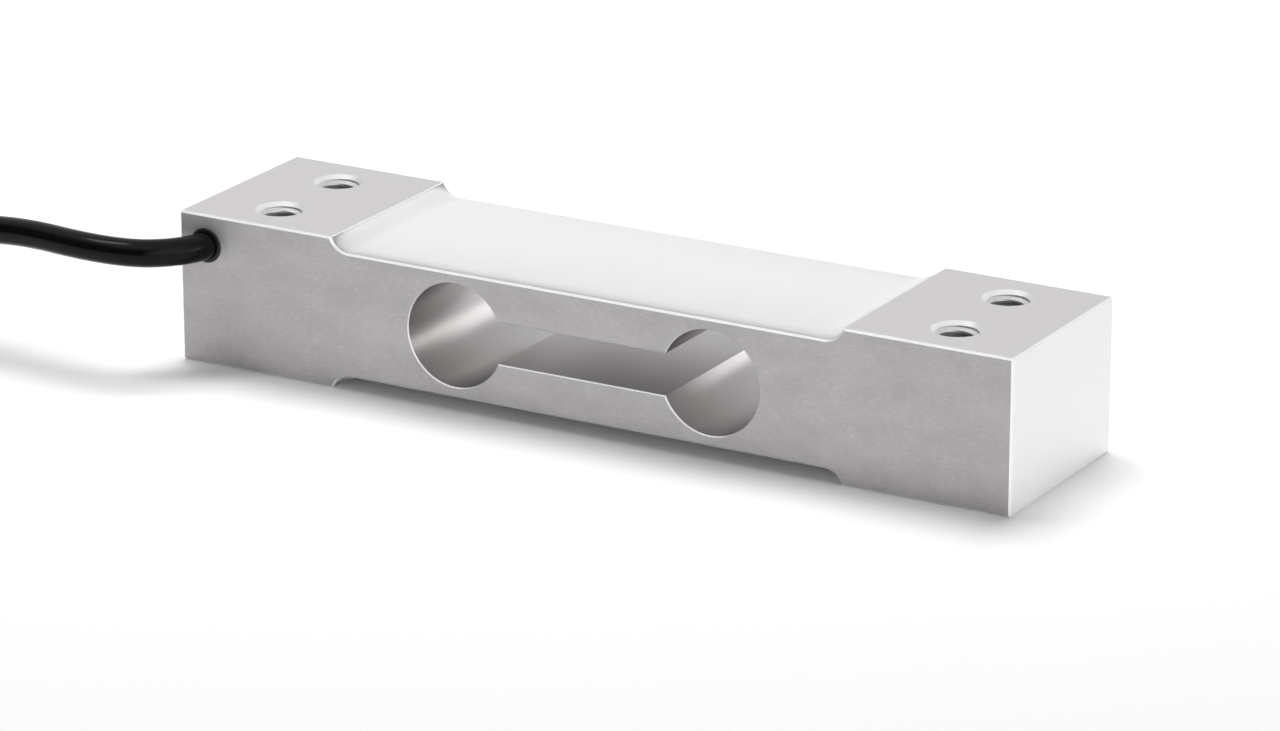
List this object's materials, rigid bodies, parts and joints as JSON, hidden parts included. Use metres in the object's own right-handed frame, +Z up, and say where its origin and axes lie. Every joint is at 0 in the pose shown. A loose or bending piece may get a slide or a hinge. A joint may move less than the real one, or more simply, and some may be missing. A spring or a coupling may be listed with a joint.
{
  "type": "single point load cell",
  "caption": "Aluminium single point load cell with a binocular cut-out, threaded holes at both ends, white silicone over its strain gauges and a black signal cable.",
  "frame": {"origin": "middle of the beam's underside, level with the two end pads that it stands on", "axes": "+X along the beam from the cable end to the loaded end, -Y towards the face that the cable leaves, +Z up"},
  "size_m": [0.2419, 0.057, 0.022],
  "materials": {
    "machined_aluminium": "satin, finely machined, with bright broken edges",
    "white_silicone": "smooth, slightly glossy, poured",
    "black_bush": "smooth",
    "clear_resin": "cast",
    "cable_jacket": "glossy extruded PVC",
    "black_nylon": "moulded",
    "shrink_sleeve": "satin",
    "green_board": "solder resist over glass fibre board",
    "tinned_pads": "tinned copper",
    "enamelled_copper": "enamelled copper wire",
    "chip_resistor": "glazed",
    "tinned_copper": "tinned copper strands",
    "polyimide_film": "thin amber film",
    "gauge_foil": "etched alloy foil",
    "red_insulation": "smooth PVC",
    "black_insulation": "smooth PVC",
    "green_insulation": "smooth PVC",
    "white_insulation": "smooth PVC"
  },
  "bodies": {
    "root": {"beam": "machined_aluminium", "top_sealant": "white_silicone", "bottom_sealant": "white_silicone", "cable_bush": "black_bush", "bore_potting": "clear_resin", "cable_tube": "cable_jacket", "cable_coil": "cable_jacket", "coil_tie": "black_nylon", "end_sleeve": "shrink_sleeve", "terminal_board_top": "green_board", "terminal_board_bottom": "green_board", "terminal_pads_top": "tinned_pads", "terminal_pads_bottom": "tinned_pads", "gauge_leads_top": "enamelled_copper", "gauge_leads_bottom": "enamelled_copper", "bridge_leads": "enamelled_copper", "zero_resistor": "chip_resistor", "span_resistor": "chip_resistor", "tail_tips": "tinned_copper", "gauge_backing_top_fixed": "polyimide_film", "gauge_grid_top_fixed": "gauge_foil", "gauge_backing_top_load": "polyimide_film", "gauge_grid_top_load": "gauge_foil", "gauge_backing_bottom_fixed": "polyimide_film", "gauge_grid_bottom_fixed": "gauge_foil", "gauge_backing_bottom_load": "polyimide_film", "gauge_grid_bottom_load": "gauge_foil", "core_red": "red_insulation", "tail_red": "red_insulation", "core_black": "black_insulation", "tail_black": "black_insulation", "core_green": "green_insulation", "tail_green": "green_insulation", "core_white": "white_insulation", "tail_white": "white_insulation"}
  },
  "joints": []
}
